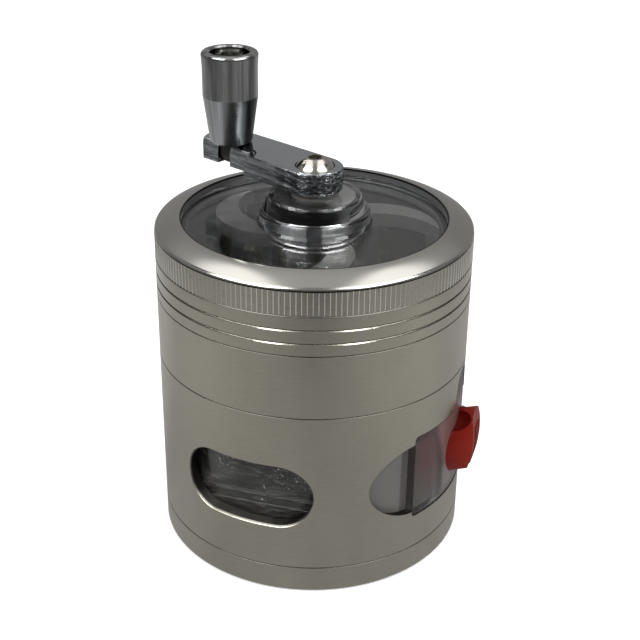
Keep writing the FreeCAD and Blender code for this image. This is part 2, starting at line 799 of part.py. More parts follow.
def make_lid_window():
    """Clear disc with a stepped, bevelled boss, bored from below for the bush and its ring."""
    body = new_body("lid_window")
    edge = R - 5.24 - 0.06
    face = lid_top - 1.32
    shoulder = boss_top - 0.6
    revolve(body, "window", (
        (boss_ring_radius + d.fit_clearance, window_z),
        (edge, window_z),
        (edge, face - 0.2),
        (edge - 0.2, face),
        (d.boss_radius + 0.5, face),
        (d.boss_radius, face + 0.5),
        (d.boss_radius, face + 1.9, 0.8),
        (d.boss_radius - 0.8, face + 2.7),
        (d.boss_radius - 1.7, boss_top - 0.3),
        (d.boss_radius - 2.0, boss_top),
        (bush_neck + d.fit_clearance, boss_top),
        (bush_neck + d.fit_clearance, shoulder),
        (d.bush_radius + d.fit_clearance, shoulder),
        (d.bush_radius + d.fit_clearance, boss_ring_top),
        (boss_ring_radius + d.fit_clearance, boss_ring_top),
    ))
    return body


def make_bush_and_rings():
    """Bush and steel ring in the boss, glide ring round the skirt, washer under the crank."""
    bush_body = new_body("shaft_bush")
    bore = d.shaft_radius + d.fit_clearance
    revolve(bush_body, "bush", (
        (bore, window_z - 0.3),
        (d.bush_radius, window_z - 0.3),
        (d.bush_radius, boss_top - 0.65),
        (bush_neck, boss_top - 0.65),
        (bush_neck, boss_top + 0.7),
        (bush_neck - 0.2, boss_top + 0.9),
        (bore, boss_top + 0.9),
    ))
    boss_ring = ring("boss_ring", boss_ring_radius, d.bush_radius + d.fit_clearance, window_z,
                     boss_ring_top - d.fit_clearance - window_z)
    glide = ring("glide_ring", chamber_bore - 0.08, R - 4.1, lid_z - 2.15, Size.of(1.4))
    washer = ring("arm_washer", d.shaft_radius + 1.9, d.shaft_radius + d.fit_clearance,
                  boss_top + 1.0, arm_z - boss_top - 1.0)
    return bush_body, boss_ring, glide, washer


def make_crank_shaft():
    """Shaft with the collar under the lid, a flatted tenon for the arm and a screw hole."""
    body = new_body("crank_shaft")
    low = rotor_bottom + d.magnet_height + 2.0
    tenon_top = hub_seat - 0.1
    revolve(body, "shaft", (
        (0, low),
        (d.shaft_radius, low),
        (d.shaft_radius, rotor_top),
        (d.shaft_radius + 1.4, rotor_top),
        (d.shaft_radius + 1.4, window_z - 0.4),
        (d.shaft_radius, window_z - 0.4),
        (d.shaft_radius, tenon_top),
        (d.screw_radius, tenon_top),
        (d.screw_radius, tenon_top - 9.0),
        (0, tenon_top - 9.0),
    ))
    flats = sketch_in(body, "XY_Plane", "flats", rise=arm_z)
    flat = d.shaft_radius - 0.6
    for side in (1, -1):
        outline(flats, (
            (-2 * d.shaft_radius, side * flat),
            (2 * d.shaft_radius, side * flat),
            (2 * d.shaft_radius, side * 2 * d.shaft_radius),
            (-2 * d.shaft_radius, side * 2 * d.shaft_radius),
        ))
    pocket(body, flats, "tenon_flats", forward=True)
    return body


def make_crank_arm():
    """Flat arm with a counterbored hub and an end forked to one side for the folding knob."""
    body = new_body("crank_arm")
    plan = sketch_in(body, "XY_Plane", "arm_plan", rise=arm_z)
    slot(plan, d.arm_reach / 2, ZERO, d.arm_reach / 2, d.arm_half_width)
    bar = pad(body, plan, "arm_bar", d.arm_thickness)
    dress(body, "Chamfer", "arm_edge", bar, lambda e: e.BoundBox.ZMin > arm_top.value - 0.01,
          Size.of(0.25))
    beyond = d.arm_reach + 2 * d.arm_half_width
    wide = 2 * d.arm_half_width
    open_side = sketch_in(body, "XY_Plane", "open_side", rise=arm_z)
    setback = d.pivot_reach - d.tang_thickness / 2 - 6.0
    outline(open_side, (
        (setback, wide),
        (setback, d.fork_face + 0.8, 0.8),
        (setback + 0.8, d.fork_face),
        (beyond, d.fork_face),
        (beyond, wide),
    ))
    pocket(body, open_side, "open_side_cut", forward=True)
    fork = sketch_in(body, "XY_Plane", "fork_slot", rise=arm_z)
    half_slot = d.tang_thickness / 2 + 0.15
    slot_back = d.pivot_side - d.tang_radius - 0.2
    outline(fork, (
        (d.pivot_reach - half_slot, slot_back),
        (d.pivot_reach + half_slot, slot_back),
        (d.pivot_reach + half_slot, wide),
        (d.pivot_reach - half_slot, wide),
    ))
    forked = pocket(body, fork, "fork_cut", forward=True)

    def ear_edge(edge):
        box = edge.BoundBox
        level = box.ZMin > arm_top.value - 0.01
        return level and abs(box.YMin - d.fork_face.value) < 0.01 and box.YLength < 0.01

    dress(body, "Fillet", "ear_rounds", forked, ear_edge, d.tang_radius)
    hub = sketch_in(body, "XY_Plane", "hub_seat", rise=hub_seat)
    disc(hub, ZERO, ZERO, d.recess_radius)
    pocket(body, hub, "hub_seat_cut", forward=True)
    drive = sketch_in(body, "XY_Plane", "drive_hole", rise=arm_z)
    flat = d.shaft_radius - 0.6
    corner = Size(math.sqrt(d.shaft_radius.value ** 2 - flat.value ** 2),
                  f"sqrt({d.shaft_radius.text}^2 - {flat.text}^2)")
    outline(drive, (
        (-corner, -flat),
        (corner, -flat, d.shaft_radius),
        (corner, flat),
        (-corner, flat, d.shaft_radius),
    ))
    pocket(body, drive, "drive_cut", forward=True)
    bore = sketch_in(body, "YZ_Plane", "pin_bore", rise=d.pivot_reach - 5.5)
    disc(bore, d.pivot_side, pivot_z, d.pin_radius)
    pocket(body, bore, "pin_bore_cut", forward=True)
    return body


def make_fold_pin():
    body = new_body("fold_pin")
    sketch = sketch_in(body, "YZ_Plane", "pin_section", rise=d.pivot_reach - 5.5)
    disc(sketch, d.pivot_side, pivot_z, d.pin_radius)
    pad(body, sketch, "pin", d.arm_reach + d.arm_half_width - d.pivot_reach + 5.2)
    return body


def make_arm_screw():
    """Button-head screw with a hexagon socket."""
    body = new_body("arm_screw")
    head = d.recess_radius - 0.2
    top = hub_seat + 2.2
    revolve(body, "screw", (
        (0, hub_seat - 8.0),
        (d.screw_radius, hub_seat - 8.0),
        (d.screw_radius, hub_seat),
        (head, hub_seat),
        (head, hub_seat + 0.4, 4.6),
        (Size.of(1.9), top),
        (0, top),
    ))
    sketch = sketch_in(body, "XY_Plane", "hexagon", rise=top)
    across = 1.443
    outline(sketch, [
        (Size.of(across * math.cos(math.radians(60 * n + 20))),
         Size.of(across * math.sin(math.radians(60 * n + 20))))
        for n in range(6)
    ])
    pocket(body, sketch, "socket", Size.of(1.3))
    return body


def make_knob_spindle():
    """Tang that folds on the pin, with the post that the knob turns on."""
    body = new_body("knob_spindle")
    tang = sketch_in(body, "YZ_Plane", "tang", rise=d.pivot_reach - d.tang_thickness / 2)
    left = d.pivot_side - d.tang_radius
    right = d.pivot_side + d.tang_radius
    outline(tang, (
        (left, pivot_z, d.tang_radius),
        (d.pivot_side, pivot_z - d.tang_radius, d.tang_radius),
        (right, pivot_z),
        (right, knob_z - 0.1),
        (left, knob_z - 0.1),
    ))
    pad(body, tang, "tang_pad", d.tang_thickness)
    eye = sketch_in(body, "YZ_Plane", "eye", rise=d.pivot_reach - d.tang_thickness)
    disc(eye, d.pivot_side, pivot_z, d.pin_radius + d.fit_clearance)
    pocket(body, eye, "eye_cut", forward=True)
    revolve(body, "post", (
        (Size.of(1.2), recess_z - 7.0),
        (Size.of(1.2), recess_z + 0.1),
        (d.post_radius, recess_z + 0.1),
        (d.post_radius, knob_z - 0.1),
        (0, knob_z - 0.1),
        (0, recess_z - 7.0),
    ), d.pivot_reach, d.pivot_side)
    return body


def make_knob_screw():
    """Pan-head screw in the post's end; its head keeps the knob on."""
    body = new_body("knob_screw")
    seat = recess_z + 0.1
    revolve(body, "screw", (
        (0, seat - 6.5),
        (Size.of(1.2), seat - 6.5),
        (Size.of(1.2), seat),
        (d.recess_radius - 0.85, seat),
        (d.recess_radius - 0.85, seat + 0.9, 1.2),
        (d.recess_radius - 1.6, seat + 1.6),
        (0, seat + 1.6),
    ), d.pivot_reach, d.pivot_side)
    for number, (long, short) in enumerate(((1.5, 0.35), (0.35, 1.5))):
        cross = sketch_in(body, "XY_Plane", f"cross_{number}", d.pivot_reach, d.pivot_side, seat + 1.6)
        outline(cross, (
            (Size.of(-long), Size.of(-short)),
            (Size.of(long), Size.of(-short)),
            (Size.of(long), Size.of(short)),
            (Size.of(-long), Size.of(short)),
        ))
        pocket(body, cross, f"cross_cut_{number}", Size.of(0.8))
    return body


def make_crank_knob():
    body = new_body("crank_knob")
    bore = d.post_radius + d.fit_clearance
    flare = d.knob_radius + 0.15
    revolve(body, "knob", (
        (bore, knob_z),
        (d.knob_foot_radius - 0.3, knob_z),
        (d.knob_foot_radius, knob_z + 0.3),
        (d.knob_radius, knob_z + 0.52 * d.knob_height),
        (d.knob_radius, knob_top - 3.2),
        (flare, knob_top - 0.7, 0.7),
        (flare - 0.7, knob_top),
        (d.recess_radius + 0.3, knob_top),
        (d.recess_radius, knob_top - 0.3),
        (d.recess_radius, recess_z),
        (bore, recess_z),
    ), d.pivot_reach, d.pivot_side)
    return body


def turn(azimuth, pieces):
    """Turn pieces drawn along +X to their rest direction round the axis."""
    for piece in pieces:
        piece.Placement.Rotation = FreeCAD.Rotation(UP, azimuth.value)
        piece.setExpression("Placement.Rotation.Angle", azimuth.text)


base_cap = make_base_cap()
storage_chamber = make_storage_chamber()
sieve_screen, sieve_ring = make_sieve()
guide_sleeve = make_guide_sleeve()
drawer_tray, drawer_front = make_drawer_tray()
drawer_pull = make_drawer_pull()
grinding_chamber, chamber_magnet, chamber_collar = make_grinding_chamber()
rotor, rotor_magnet = make_rotor()
lid_ring = make_lid_ring()
lid_window = make_lid_window()
shaft_bush, boss_ring, glide_ring, arm_washer = make_bush_and_rings()
crank_shaft = make_crank_shaft()
crank_arm = make_crank_arm()
fold_pin = make_fold_pin()
arm_screw = make_arm_screw()
knob_spindle = make_knob_spindle()
knob_screw = make_knob_screw()
crank_knob = make_crank_knob()
crank_pieces = [crank_shaft, crank_arm, fold_pin, arm_screw, knob_spindle, knob_screw, crank_knob]
turn(d.crank_azimuth, crank_pieces)
turn(d.rotor_azimuth, [rotor])

NODES = [
    base_cap, storage_chamber, sieve_screen, sieve_ring, guide_sleeve, drawer_tray, drawer_front,
    drawer_pull, grinding_chamber, chamber_collar, chamber_magnet, rotor, rotor_magnet, lid_ring,
    lid_window, shaft_bush, boss_ring, glide_ring, arm_washer, crank_shaft, crank_arm, fold_pin,
    arm_screw, knob_spindle, knob_screw, crank_knob,
]

doc.recompute()
for item in doc.Objects:
    if "Invalid" in item.State or "Error" in item.State:
        raise RuntimeError(f"{item.Label} did not build: {item.State}")
for node in NODES:
    if node.Shape.isNull() or not node.Shape.isValid():
        raise RuntimeError(f"{node.Label} has no valid shape")

os.makedirs("parts", exist_ok=True)
for node in NODES:
    node.Shape.exportStep(os.path.join("parts", f"{node.Label}.step"))
    box = node.Shape.BoundBox
    print(f"{node.Label}: {len(node.Shape.Solids)} solid, {node.Shape.Volume:.1f} mm3, "
          f"x {box.XMin:.2f} to {box.XMax:.2f}, y {box.YMin:.2f} to {box.YMax:.2f}, "
          f"z {box.ZMin:.2f} to {box.ZMax:.2f}")
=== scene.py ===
import math

import bpy
from mathutils import Matrix, Vector


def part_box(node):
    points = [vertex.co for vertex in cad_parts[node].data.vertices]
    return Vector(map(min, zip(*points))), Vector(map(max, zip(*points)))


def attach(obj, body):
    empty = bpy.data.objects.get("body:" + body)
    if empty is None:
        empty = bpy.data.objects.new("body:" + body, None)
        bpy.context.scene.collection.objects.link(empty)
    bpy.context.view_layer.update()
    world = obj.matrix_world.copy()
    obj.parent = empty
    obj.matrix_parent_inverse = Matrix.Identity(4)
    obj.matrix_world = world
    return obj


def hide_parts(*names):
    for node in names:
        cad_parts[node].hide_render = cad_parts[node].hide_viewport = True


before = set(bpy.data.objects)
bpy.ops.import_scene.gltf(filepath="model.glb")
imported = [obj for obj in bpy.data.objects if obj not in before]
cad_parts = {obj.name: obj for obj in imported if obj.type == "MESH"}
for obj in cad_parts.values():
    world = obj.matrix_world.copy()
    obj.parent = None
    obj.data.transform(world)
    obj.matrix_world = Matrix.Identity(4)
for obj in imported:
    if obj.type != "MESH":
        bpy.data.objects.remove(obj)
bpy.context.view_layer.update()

MM = 0.001
WHITE = (1.0, 1.0, 1.0)
ACRYLIC_IOR = 1.49

# The photograph's view is turned by this much about the upright axis.
VIEW_TURN = math.radians(17.0)
VIEW_COS = math.cos(VIEW_TURN)
VIEW_SIN = math.sin(VIEW_TURN)

# Places and sizes on the object, in millimetres.
BODY_RADIUS = 31.5
SEAMS = (5.81, 39.96, 53.09, 61.07)
GROOVE_LIPS = (55.43, 58.15)
ARM_FLAT = 78.25
KNOB_MIDDLE = (-20.12, 7.73)
PULL_MIDDLE = 28.0
PULL_SCOOP = (31.4, 4.2, 30.5)
DUSTY_SPOT = (5.3, -17.2)
SKIRT_DEPTH = 2.95
RIB_COUNT = 192
RIB_RING = 31.31
RIB_RADIUS = 0.18
RIB_LOW = 61.1
RIB_HIGH = 65.85

# Where one finish gives way to another, from the first mark to the second, in millimetres.
RIM_FOOT = (66.05, 66.25)
RIM_CREST = (67.85, 67.95)
RIM_BORE = (26.3, 26.34)
RIM_EDGE = (26.44, 26.52)
CONE_RADIUS = (10.3, 10.5)
CORE_NECK = (4.72, 4.8)
CORE_TOP = (71.5, 71.6)
HUB_RADIUS = (6.0, 8.5)
KNOB_TAPER = (87.99, 88.15)
LINER_FOOT = (11.2, 11.9)
RAIL_TOP = (13.9, 14.0)
RAIL_UNDERSIDE = (12.05, 12.15)
RAIL_INSIDE = (17.78, 17.86)
DRAWER_FLANK = (17.0, 17.3)
DRAWER_EDGE = (18.3, 18.6)
PULL_FRONT = (30.5, 35.5)

# Where a finish starts, is full, starts to fade and ends, in millimetres.
CHAMBER_INSIDE = (40.2, 40.4, 53.2, 53.4)
CONE_HEIGHT = (69.6, 69.75, 71.9, 72.0)
RAIL_ASIDE = (17.4, 17.6, 20.2, 20.5)
RAIL_HEIGHT = (11.5, 11.7, 14.4, 14.6)


class Value:
    """A socket that carries a value; arithmetic on it adds Math nodes to its tree."""

    def __init__(self, tree, socket):
        self.tree = tree
        self.socket = socket

    def math(self, operation, *others):
        return self.tree.add("ShaderNodeMath", {"operation": operation}, dict(enumerate((self, *others))))

    def after(self, operation, first):
        return self.tree.add("ShaderNodeMath", {"operation": operation}, {0: first, 1: self})

    def __add__(self, other):
        return self.math("ADD", other)

    def __radd__(self, other):
        return self.after("ADD", other)

    def __sub__(self, other):
        return self.math("SUBTRACT", other)

    def __rsub__(self, other):
        return self.after("SUBTRACT", other)

    def __mul__(self, other):
        return self.math("MULTIPLY", other)

    def __rmul__(self, other):
        return self.after("MULTIPLY", other)

    def __truediv__(self, other):
        return self.math("DIVIDE", other)

    def __rtruediv__(self, other):
        return self.after("DIVIDE", other)

    def least(self, other):
        return self.math("MINIMUM", other)

    def most(self, other):
        return self.math("MAXIMUM", other)

    def root(self):
        return self.math("SQRT")

    def size(self):
        return self.math("ABSOLUTE")

    def wave(self):
        return self.math("SINE")

    def over(self, low, high):
        """0 below low and 1 above high, with a soft step between them."""
        return self.tree.add(
            "ShaderNodeMapRange",
            {"interpolation_type": "SMOOTHSTEP"},
            {"Value": self, "From Min": low, "From Max": high},
            "Result",
        )

    def under(self, low, high):
        """1 below low and 0 above high, with a soft step between them."""
        return 1 - self.over(low, high)

    def between(self, low, full, fade, high):
        """1 from full to fade, and 0 below low and above high."""
        return self.over(low, full) * self.under(fade, high)


def find(sockets, key):
    """A socket by place, identifier or name."""
    if isinstance(key, int):
        return sockets[key]
    for socket in sockets:
        if socket.identifier == key:
            return socket
    return sockets[key]


class Tree:
    """A node tree, and the few ways nodes are added to it."""

    def __init__(self, tree):
        self.nodes = tree.nodes
        self.links = tree.links
        self.nodes.clear()

    def add(self, kind, settings=None, inputs=None, output=0):
        """One output of a new node, after its settings and the values or links of its sockets."""
        node = self.nodes.new(kind)
        for name, setting in (settings or {}).items():
            setattr(node, name, setting)
        for key, value in (inputs or {}).items():
            socket = find(node.inputs, key)
            if isinstance(value, Value):
                self.links.new(value.socket, socket)
            elif socket.type == "RGBA":
                socket.default_value = (*value, 1.0)
            else:
                socket.default_value = value
        return Value(self, find(node.outputs, output)) if node.outputs else None

    def light_path(self, kind):
        return self.add("ShaderNodeLightPath", output=kind)

    def split(self, vector):
        """The three values of a vector."""
        return [self.add("ShaderNodeSeparateXYZ", None, {0: vector}, axis) for axis in "XYZ"]

    def vector(self, x, y, z):
        return self.add("ShaderNodeCombineXYZ", None, {"X": x, "Y": y, "Z": z})

    def noise(self, where, scale=1.0, detail=3.0):
        sockets = {"Vector": where, "Scale": scale, "Detail": detail}
        return self.add("ShaderNodeTexNoise", None, sockets, "Fac")

    def cells(self, where, scale):
        """Distance to the nearest of scattered points."""
        return self.add("ShaderNodeTexVoronoi", None, {"Vector": where, "Scale": scale}, "Distance")

    def blend(self, factor, first, second):
        """A colour between two colours."""
        sockets = {"Factor_Float": factor, "A_Color": first, "B_Color": second}
        return self.add("ShaderNodeMix", {"data_type": "RGBA"}, sockets, "Result_Color")

    def mix(self, factor, first, second):
        """A shader between two shaders."""
        return self.add("ShaderNodeMixShader", None, {0: factor, 1: first, 2: second})

    def bump(self, height, depth, strength=1.0):
        """Surface relief: height 0 to 1 over a depth in millimetres."""
        sockets = {"Height": height, "Distance": depth * MM, "Strength": strength}
        return self.add("ShaderNodeBump", None, sockets)


class Finish(Tree):
    """A material; its place is in Object coordinates, in millimetres."""

    def __init__(self, name):
        self.material = bpy.data.materials.new(name)
        self.material.use_nodes = True
        super().__init__(self.material.node_tree)
        metres = self.add("ShaderNodeTexCoord", output="Object")
        sockets = {0: metres, "Scale": 1 / MM}
        self.point = self.add("ShaderNodeVectorMath", {"operation": "SCALE"}, sockets)
        self.place = self.split(self.point)

    def surface(self, **sockets):
        """A Principled surface with its sockets given by name."""
        names = {key.replace("_", " "): value for key, value in sockets.items()}
        return self.add("ShaderNodeBsdfPrincipled", None, names)

    def clear(self, colour, rough, normal, through=1.0):
        """A clear plastic surface."""
        return self.surface(
            Base_Color=colour, Roughness=rough, Normal=normal,
            Transmission_Weight=through, IOR=ACRYLIC_IOR,
        )

    def finish(self, shader):
        self.add("ShaderNodeOutputMaterial", None, {"Surface": shader})
        return self.material

    def finish_metal(self, colour, rough, normal):
        return self.finish(self.surface(Base_Color=colour, Metallic=1.0, Roughness=rough, Normal=normal))

    def finish_clear(self, shader, tint):
        """Let lamp light pass, tinted, so that what is behind the plastic is lit."""
        passed = self.add("ShaderNodeBsdfTransparent", None, {"Color": tint})
        return self.finish(self.mix(self.light_path("Is Shadow Ray"), shader, passed))


def from_axis(x, y):
    """Distance from the upright axis."""
    return (x * x + y * y).root()


def rightward(x, y):
    """How far a place lies towards the right of the photograph."""
    return x * VIEW_COS + y * VIEW_SIN


def backward(x, y):
    """How far a place lies towards the back of the photograph."""
    return y * VIEW_COS - x * VIEW_SIN


def nearest(value, marks):
    """Distance from a value to the nearest of some marks."""
    gap = (value - marks[0]).size()
    for mark in marks[1:]:
        gap = gap.least((value - mark).size())
    return gap


def shaded(colour, share):
    """A colour with its tones scaled."""
    return [tone * share for tone in colour]


def satin_nickel(name, rim=False):
    """Satin plate over a turned casting: faint lines round the axis, wipe marks, dark joint lines, and
    painted shade behind the wall's face. The lid ring's rim is polished; its groove lips are polished at the
    front and painted dark as shade at the sides, and the crown's inner edge carries a painted dark shade
    line."""
    f = Finish(name)
    x, y, z = f.place
    radius = from_axis(x, y)
    turned = f.noise(f.vector(x * 0.4, y * 0.4, (z + radius) * 5.0))
    cloud = f.noise(f.vector(x, y, z * 0.7), 0.07)
    smear = f.noise(f.vector(x, y, z * 0.22), 0.32).over(0.52, 0.75)
    nibble = f.noise(f.point, 1.3, detail=2.0)
    pits = f.cells(f.point, 0.11).under(0.012, 0.024)
    plate = (turned * 0.55 + cloud * 0.45).over(0.25, 0.75)
    colour = f.blend(plate, (0.39, 0.369, 0.312), (0.46, 0.435, 0.368))
    colour = f.blend(pits * 0.5, colour, (0.09, 0.086, 0.08))
    ragged, face = (0.26, 31.36) if rim else (0.14, 31.4)
    # Painted shade: surfaces set in behind the wall's face are darkened, less so inside the chamber.
    recess_shade = (radius + nibble * ragged).under(face, BODY_RADIUS) * 0.8
    recess_shade = recess_shade * (1 - z.between(*CHAMBER_INSIDE) * 0.6)
    seam = nearest(z, SEAMS).under(0.1, 0.18) * radius.over(31.1, 31.3)
    colour = f.blend(recess_shade.most(seam * 0.85), colour, (0.05, 0.048, 0.045))
    rough = 0.26 + turned * 0.09 + cloud * 0.08 + smear * 0.04
    if rim:
        polished = z.over(*RIM_FOOT)
        shine = f.blend(cloud, (0.46, 0.447, 0.41), (0.56, 0.545, 0.5))
        colour = f.blend(polished, colour, shine)
        rough = rough - polished * (rough - (0.11 + 0.07 * cloud))
        side = rightward(x, y) / radius
        lips = nearest(z, GROOVE_LIPS).under(0.08, 0.1)
        # Painted shade: the groove lips are dark at the sides; at the front they stay polished.
        wear_and_shade = (side.size() + nibble * 0.16).over(0.34, 0.46)
        rough = rough - lips * (1 - wear_and_shade) * (rough - 0.1)
        colour = f.blend(lips * wear_and_shade, colour, (0.05, 0.048, 0.043))
        inner = radius.under(*RIM_BORE)
        colour = f.blend(inner, colour, (0.28, 0.285, 0.285))
        rough = rough.most(inner * 0.5)
        # Painted shade: a dark line along the crown's inner edge, where it meets the disc.
        edge = radius.under(*RIM_EDGE) * z.over(*RIM_CREST)
        colour = f.blend(edge, colour, (0.012, 0.012, 0.012))
    return f.finish_metal(colour, rough, f.bump(turned, 0.0005))


def bright_chrome(name, dark, light, ripple, lay=0.0, flat=None):
    """Bright plate over a casting that ripples by so many millimetres, drawn out along its lay. With a
    flat height it is ground smooth above that; below, it carries painted dark shade and white glints round
    the hub, and painted light and shade in streaks along the arm."""
    f = Finish(name)
    x, y, z = f.place
    along = x * math.cos(lay) + y * math.sin(lay)
    across = y * math.cos(lay) - x * math.sin(lay)
    as_cast = z.under(flat - 0.2, flat - 0.05) if flat else 1.0
    cloud = f.noise(f.point, 0.14, detail=2.0)
    waves = f.noise(f.vector(along * 0.16, across * 0.7, z * 0.9))
    wipes = f.noise(f.vector(along * 0.6, across * 2.5, z * 5.0))
    grit = f.noise(f.vector(along * 0.9, across * 1.8, z * 2.4))
    pits = f.cells(f.point, 0.8).under(0.04, 0.1)
    colour = f.blend(cloud, dark, light)
    if flat:
        # Painted reflections: dark shade and white glints round the hub, and darker light-and-dark streaks
        # along the arm's sides.
        glint_noise = f.noise(f.vector(along * 0.45, across * 1.2, z * 2.4))
        hub = f.blend(glint_noise.over(0.42, 0.5), shaded(light, 0.1), shaded(light, 0.56))
        hub = f.blend(glint_noise.over(0.58, 0.64), hub, WHITE)
        streaks = f.noise(f.vector(along * 0.06, across * 0.5, z * 1.6))
        arm = f.blend(streaks.over(0.35, 0.65), shaded(light, 0.42), shaded(light, 0.95))
        side_painted_light = f.blend(from_axis(x, y).over(*HUB_RADIUS), hub, arm)
        colour = f.blend(as_cast * 0.9, colour, side_painted_light)
    rough = 0.05 + wipes * 0.05 + pits * 0.2 * as_cast
    normal = f.bump((waves + grit * 0.45 - pits * 0.1) * as_cast, ripple, 0.6)
    return f.finish_metal(colour, rough, normal)


def drawn_chrome(name):
    """Plated knob with faint upright draw lines and a painted highlight band up its side; its taper is duller
    and streakier, with painted light at its left and painted shade at its right."""
    f = Finish(name)
    x, y, z = f.place
    out_x, out_y = x - KNOB_MIDDLE[0], y - KNOB_MIDDLE[1]
    reach = from_axis(out_x, out_y).most(0.5)
    broad = f.noise(f.vector(out_x / reach * 2.2, out_y / reach * 2.2, z * 0.03))
    lines = f.noise(f.vector(out_x / reach * 11.0, out_y / reach * 11.0, z * 0.12))
    streaks = (broad * 0.65 + lines * 0.35).over(0.36, 0.64)
    side = rightward(out_x, out_y) / reach
    # Painted highlight: a bright band up the knob's side.
    highlight_band = (side - 0.05).size().under(0.08, 0.3)
    upper = f.blend(streaks, (0.21, 0.218, 0.212), (0.45, 0.462, 0.45))
    upper = f.blend(highlight_band * 0.8, upper, (0.6, 0.61, 0.59))
    lower = f.blend(streaks, (0.36, 0.375, 0.38), (0.58, 0.6, 0.605))
    # Painted light at the taper's left and painted shade at its right.
    lower = f.blend(side.over(-0.4, -0.15), lower, (0.21, 0.215, 0.215))
    lower = f.blend(side.over(0.3, 0.6), lower, (0.045, 0.048, 0.049))
    taper = z.under(*KNOB_TAPER)
    colour = f.blend(taper, upper, lower)
    rough = 0.07 + taper * 0.14 + lines * 0.06
    return f.finish_metal(colour, rough, f.bump(lines, 0.012, 0.4))


def bare_steel(name, dark, light, rough_low=0.16, highlight_patches=False):
    """Plain bright steel, turned and lightly handled; with highlight patches, it has two painted highlights
    at both sides of its front.
    """
    f = Finish(name)
    x, y, z = f.place
    turned = f.noise(f.vector(x * 0.8, y * 0.8, z * 9.0), detail=2.0)
    cloud = f.noise(f.point, 0.5, detail=2.0)
    if highlight_patches:
        # Painted highlights: two bright patches at both sides of the front.
        side = rightward(x, y) / from_axis(x, y).most(0.5)
        side = (side + cloud * 0.1 - 0.05).size()
        cloud = side.between(0.1, 0.2, 0.5, 0.85) * (0.7 + cloud.over(0.3, 0.7) * 0.3)
    colour = f.blend(cloud, dark, light)
    rough = rough_low + turned * 0.08 + cloud * 0.08
    return f.finish_metal(colour, rough, f.bump(turned, 0.01, 0.3))


def dusted_zinc(name):
    """Cast zinc dulled by use, with a film of dark dust round one spot."""
    f = Finish(name)
    x, y = f.place[:2]
    cloud = f.noise(f.point, 0.3)
    grain = f.noise(f.point, 2.0, detail=2.0)
    away = from_axis(x - DUSTY_SPOT[0], y - DUSTY_SPOT[1])
    film = (away + cloud * 4.0).under(8.0, 15.0) * 0.35
    colour = f.blend(cloud, (0.24, 0.24, 0.225), (0.31, 0.31, 0.29))
    colour = f.blend(film, colour, (0.06, 0.058, 0.05))
    return f.finish_metal(colour, 0.42 + grain * 0.12, f.bump(grain, 0.01, 0.3))


def clear_acrylic(name):
    """Clear moulded acrylic with hairline scratches and a faint film of dust. The boss's cone carries a
    painted dark reflection, fainter towards the right."""
    f = Finish(name)
    x, y, z = f.place
    radius = from_axis(x, y)
    light = (0.9, 0.905, 0.91)
    film = f.noise(f.point, 0.16)
    long_hairs = f.vector(x * 0.15 + y * 0.12, y * 3.0 - x * 2.6, z * 2.0)
    cross_hairs = f.vector(x * 3.2 + y * 1.4, y * 0.2, z * 2.2)
    scratches = f.noise(long_hairs, detail=2.0).over(0.6, 0.68)
    scratches = scratches.most(f.noise(cross_hairs, detail=2.0).over(0.61, 0.69)) * 0.5
    side = rightward(x, y) / radius.most(0.5)
    # Painted reflection: the boss's cone is dark, and painted lighter towards the right.
    cone = radius.under(*CONE_RADIUS) * z.between(*CONE_HEIGHT)
    colour = f.blend(film, (0.8, 0.81, 0.815), light)
    colour = f.blend(cone * (1 - side.over(0.3, 0.75) * 0.8), colour, (0.02, 0.02, 0.02))
    rough = 0.012 + scratches * 0.16 + film * 0.03
    normal = f.bump(scratches + film * 0.3, 0.006, 0.25)
    return f.finish_clear(f.clear(colour, rough, normal), light)


def liner_plastic(name):
    """Smoky clear liner, rubbed by hand; its straight drawer rails are frosted, with painted highlights along
    their edges.
    """
    f = Finish(name)
    x, y, z = f.place
    film = f.noise(f.point, 0.16)
    rubs = f.noise(f.vector(x * 0.25, y * 0.25, z * 4.0))
    scuffs = f.noise(f.vector(x * 2.2 + z, y * 2.2 - z, z * 2.0), detail=4.0).over(0.6, 0.75)
    wear_and_shade = f.noise(f.point, 0.12, detail=1.0).over(0.52, 0.64) * scuffs
    smoke = f.blend(film, (0.44, 0.44, 0.43), (0.55, 0.55, 0.54))
    smoke = f.blend(z.over(*LINER_FOOT), (0.22, 0.22, 0.215), smoke)
    rough = 0.02 + rubs.over(0.55, 0.7) * 0.12 + wear_and_shade * 0.3
    clear = f.clear(smoke, rough, f.bump(rubs, 0.006, 0.3))
    aside = y.size()
    rail = aside.between(*RAIL_ASIDE) * z.between(*RAIL_HEIGHT)
    # Painted highlights: the rails' edges are made pale.
    edge = z.over(*RAIL_TOP).most(z.under(*RAIL_UNDERSIDE)).most(aside.under(*RAIL_INSIDE))
    frost = f.blend(rubs.over(0.35, 0.65), (0.1, 0.1, 0.1), (0.2, 0.2, 0.197))
    frost = f.blend(edge, frost, (0.95, 0.94, 0.92))
    frosted = f.surface(Base_Color=frost, Roughness=0.35 + rubs * 0.2)
    marks = (wear_and_shade * 0.6).most(rubs.over(0.55, 0.72) * 0.1) * z.over(12.0, 16.0)
    return f.finish_clear(f.mix(rail.most(marks), clear, frosted), (0.6, 0.6, 0.59))


